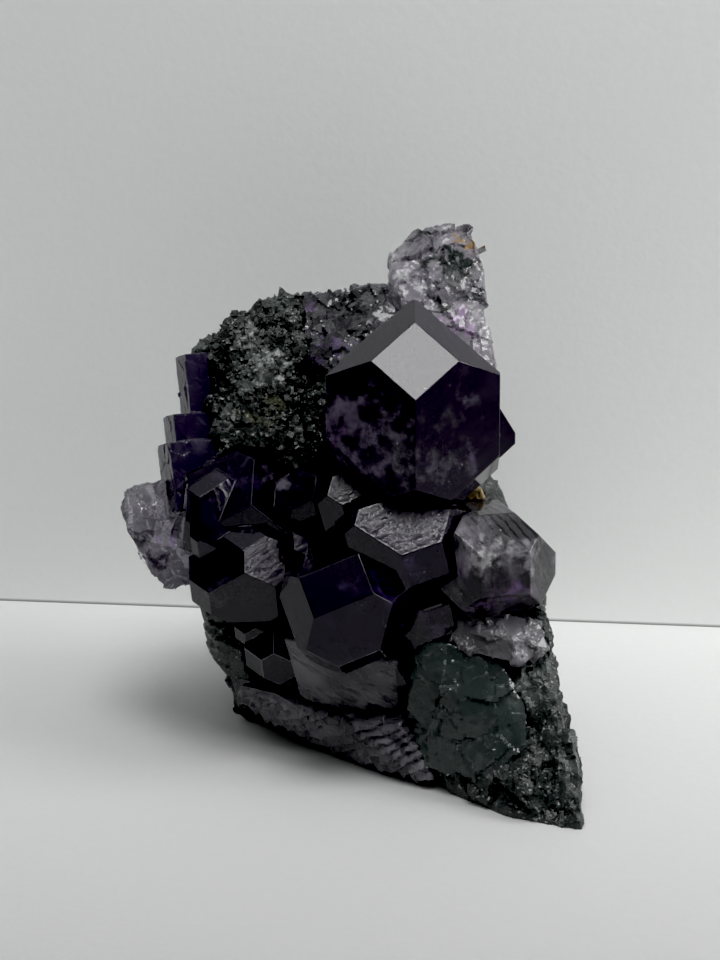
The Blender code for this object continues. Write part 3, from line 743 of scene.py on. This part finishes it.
def broken_fluorite():
    broken_piece("terrace_fluorite", "terrace_dressed", "indigo",
                 [(3.6 * MM, 0.10, 16), (1.5 * MM, 0.05, 17)], 0.16 * MM)
    glassy = [(3.2 * MM, 0.55, 1), (1.6 * MM, 0.42, 2), (0.8 * MM, 0.14, 3)]
    broken_piece("peak_fluorite", "peak_dressed", "clear", glassy,
                 grain=PEAK_WAY)
    broken_piece("ridge_fluorite", "ridge_dressed", "ridge", [
        (4.2 * MM, 0.75, 1), (1.9 * MM, 0.65, 2), (0.8 * MM, 0.30, 3)])
    broken_piece("left_lump", "left_lump_dressed", "pale", [
        (5.0 * MM, 0.60, 13), (2.2 * MM, 0.24, 14), (0.9 * MM, 0.08, 15)], 0.22 * MM)
    broken_piece("green_fluorite", "green_dressed", "green",
                 [(6.0 * MM, 0.50, 4), (2.4 * MM, 0.22, 5), (1.0 * MM, 0.12, 12)], swell=0.12 * MM)
    broken_piece("iron_grain", "iron_grain_dressed", "rust", [(0.6 * MM, 0.3, 6)], 0.14 * MM)


def rock():
    piece = copy_of("matrix", "matrix_dressed")
    modify(piece, "REMESH", mode="VOXEL", voxel_size=ROCK_VOXEL)
    break_surface(piece, [(5.0 * MM, 0.60, 7), (2.2 * MM, 0.60, 8), (1.1 * MM, 0.50, 9)], swell=0.25 * MM,
                  grain=ROCK_WAY, keep_low=0.2 * MM)
    keep_within(piece, "matrix")
    only(piece)
    bpy.ops.object.shade_smooth_by_angle(angle=math.radians(24.0))
    finish(piece, ["rock"], "matrix")
    return piece


def druse(host):
    """Small crystals that cover the shoulder of the rock, half sunk in it."""
    draw = random.Random(11)
    low = Vector((-22.0, -6.0, 38.0)) * MM
    high = Vector((-2.0, 16.0, 58.0)) * MM
    outward = Vector((0.0, -0.5, 0.6))
    seats = [face for face in host.data.polygons
             if inside((low, high), face.center) and face.normal.y < 0.3 and face.normal.dot(outward) > 0.1]
    shape = bmesh.new()
    for _ in range(DRUSE_CRYSTALS):
        seat = draw.choice(seats)
        size = (0.25 + 0.75 * draw.random() ** 3) * MM
        turn = Euler([draw.uniform(0.0, math.tau) for _ in range(3)]).to_matrix().to_4x4()
        bmesh.ops.create_cube(shape, size=size, matrix=Matrix.Translation(seat.center) @ turn)
    mesh = bpy.data.meshes.new("druse")
    shape.to_mesh(mesh)
    shape.free()
    piece = bpy.data.objects.new("druse", mesh)
    bpy.context.scene.collection.objects.link(piece)
    add_to(piece, MATERIALS["druse"])


# Surroundings

def stage_plane(name, place, turn, colour, roughness, painted_shade):
    """A paper of the setting, open from behind; its last argument paints shade along Y: its dark end, light
    end and share.
    """
    bpy.ops.object.select_all(action="DESELECT")
    bpy.ops.mesh.primitive_plane_add(size=4.0, location=place, rotation=turn)
    paper = bpy.context.active_object
    paper.name = name
    made, tree, shader, where = new_material(name)
    grain = node(tree, "TexNoise", {"Vector": where, "Scale": 700.0, "Detail": 5.0})
    tone = mix_colour(tree, grain.outputs["Fac"], (*(0.96 * part for part in colour), 1.0), (*colour, 1.0))
    depth = node(tree, "SeparateXYZ", {"Vector": where})
    near, far, darker = painted_shade
    painted_shade_scale = node(tree, "MapRange", {"Value": depth.outputs["Y"], "From Min": near, "From Max": far,
                                     "To Min": darker, "To Max": 1.0})
    tone = node(tree, "VectorMath", {0: tone, "Scale": painted_shade_scale.outputs[0]}, operation="SCALE").outputs[0]
    tree.links.new(tone, shader.inputs["Base Color"])
    shader.inputs["Roughness"].default_value = roughness
    bump(tree, shader, grain.outputs["Fac"], 0.35, 0.1 * MM)
    behind = tree.nodes.new("ShaderNodeNewGeometry").outputs["Backfacing"]
    open_back = tree.nodes.new("ShaderNodeBsdfTransparent").outputs[0]
    one_sided = node(tree, "MixShader", {0: behind, 1: shader.outputs[0], 2: open_back})
    tree.links.new(one_sided.outputs[0], tree.nodes["Material Output"].inputs["Surface"])
    paper.data.materials.append(made)


def stage():
    """A white table with a grey wall close behind the specimen."""
    # Painted shade: the table darkens towards the camera
    stage_plane("table", (0.0, 0.0, 0.0), (0.0, 0.0, 0.0), (0.68, 0.685, 0.68), 0.7, (-0.15, 0.03, 0.30))
    # Painted shadow: a thin dark line along the foot of the wall
    stage_plane("wall", WALL_PLACE, (math.radians(90.0), 0.0, WALL_SWING), (0.97, 0.98, 0.97), 0.8,
                (-2.0, -1.9995, 0.15))


def area_light(name, place, aim, size, luminance):
    """A square light of a size in metres that faces the place it is aimed at."""
    lamp = bpy.data.lights.new(name, "AREA")
    lamp.shape = "SQUARE"
    lamp.size = size
    lamp.energy = luminance * math.pi * size * size
    held = bpy.data.objects.new(name, lamp)
    held.location = place
    held.rotation_euler = (aim - place).to_track_quat("-Z", "Y").to_euler()
    bpy.context.scene.collection.objects.link(held)


def light():
    """A softbox that the crown's top face mirrors into the camera, a window and a room bright above."""
    area_light("softbox", SOFTBOX_PLACE, CROWN_PLACE, 0.20, 9.5)
    area_light("window", WINDOW_PLACE, CROWN_PLACE, 0.24, 10.0)
    world = bpy.data.worlds.new("room")
    bpy.context.scene.world = world
    world.use_nodes = True
    tree = world.node_tree
    way = node(tree, "TexCoord").outputs["Generated"]
    lit_from = node(tree, "VectorMath", {0: way, 1: (0.10, 0.35, 0.93)}, operation="DOT_PRODUCT")
    room = node(tree, "ValToRGB", {"Fac": lit_from.outputs["Value"]})
    ramp = room.color_ramp
    ramp.elements[0].position, ramp.elements[0].color = 0.40, (0.030, 0.031, 0.034, 1.0)
    ramp.elements[1].position, ramp.elements[1].color = 0.95, (1.38, 1.40, 1.40, 1.0)
    middle = ramp.elements.new(0.68)
    middle.color = (1.08, 1.09, 1.09, 1.0)
    shade = tree.nodes["Background"]
    tree.links.new(room.outputs["Color"], shade.inputs["Color"])
    shade.inputs["Strength"].default_value = 1.0


def camera():
    lens = bpy.data.cameras.new("camera")
    lens.sensor_width = 36.0
    lens.lens = 90.0
    lens.clip_start = 0.01
    held = bpy.data.objects.new("camera", lens)
    held.matrix_world = Matrix.Translation(on_face(0.0, 0.0, CAMERA_DISTANCE)) @ FACE_TURN.to_4x4()
    bpy.context.scene.collection.objects.link(held)
    bpy.context.scene.camera = held
    view = bpy.context.scene.view_settings
    view.view_transform = "Standard"
    view.use_curve_mapping = True
    view.curve_mapping.black_level = (BLACK_LEVEL, BLACK_LEVEL, BLACK_LEVEL)
    view.curve_mapping.update()


camera()
light()
stage()
crystals()
broken_fluorite()
druse(rock())
